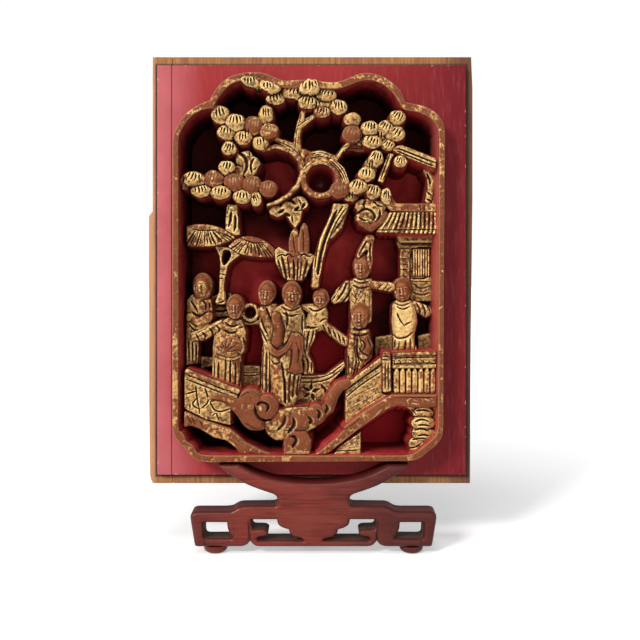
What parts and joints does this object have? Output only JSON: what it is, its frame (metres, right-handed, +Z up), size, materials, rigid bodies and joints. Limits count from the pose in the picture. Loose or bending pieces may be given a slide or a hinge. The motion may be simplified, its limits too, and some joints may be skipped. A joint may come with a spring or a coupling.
{
  "type": "carved panel",
  "caption": "Deeply pierced wooden panel, red lacquered and gilded, with a garden scene inside a scalloped border, leaning on a fretwork hardwood stand.",
  "frame": {"origin": "on the floor below the middle of the whole object's box", "axes": "+Z up, -Y towards the viewer, +X to the viewer's right"},
  "size_m": [0.2446, 0.113, 0.368],
  "materials": {
    "gilt": "gilding over carved wood, rubbed, dust in the cuts",
    "worn_gilt": "gilding worn through to brown wood and bole on the high places",
    "red_lacquer": "worn semi-gloss red lacquer on wood",
    "dark_lacquer": "dull dark red lacquer",
    "hardwood": "polished reddish hardwood"
  },
  "bodies": {
    "stand": {"stand_front": "hardwood", "front_foot_left": "hardwood", "front_foot_right": "hardwood", "rear_foot": "hardwood", "stand_spine": "hardwood", "stand_ledge": "hardwood", "stand_backrest": "hardwood"},
    "panel": {"carved_border": "gilt", "pine_bough_upper_left": "gilt", "leafy_knot": "gilt", "pine_bough_lower_left": "gilt", "pine_bough_top": "gilt", "pine_bough_right": "gilt", "pine_bough_inner": "gilt", "pine_clump_by_hip": "gilt", "roof_hip_long": "gilt", "roof_hip_short": "gilt", "branch_loop": "gilt", "branch_collar": "gilt", "branch_hub": "gilt", "hanging_leaves": "gilt", "trunk_left": "gilt", "trunk_right": "gilt", "parasol_leaf_left": "gilt", "parasol_leaf_right": "gilt", "parasol_stem": "gilt", "plantain": "gilt", "figure_middle": "worn_gilt", "figure_right_pavilion": "gilt", "figure_upper_right": "gilt", "figure_lower_right": "worn_gilt", "figure_young": "gilt", "figure_behind_middle": "gilt", "figure_left": "gilt", "round_fan": "worn_gilt", "figure_far_left": "gilt", "pierced_rock": "gilt", "roof_ridge": "gilt", "roof_ornament": "worn_gilt", "roof_tiles": "gilt", "pavilion_wall": "gilt", "lattice_window": "worn_gilt", "newel_post": "gilt", "balustrade": "gilt", "stair_string": "worn_gilt", "stair_parapet": "gilt", "rayed_wedge": "gilt", "rocks_right": "gilt", "cloud_scroll": "worn_gilt", "flower_pot": "gilt", "parapet_left": "gilt", "lower_beam": "gilt", "stone_far_left": "gilt", "stone_left": "gilt", "stone_right": "gilt", "stone_far_right": "gilt", "rock_strip": "gilt", "left_plank": "red_lacquer", "main_board": "red_lacquer", "backing_board": "dark_lacquer"}
  },
  "joints": [
    {"name": "panel_lift", "type": "slide", "parent": "stand", "child": "panel", "axis": [0, 0.0872, 0.9962], "range_m": [0, 0.07]}
  ]
}
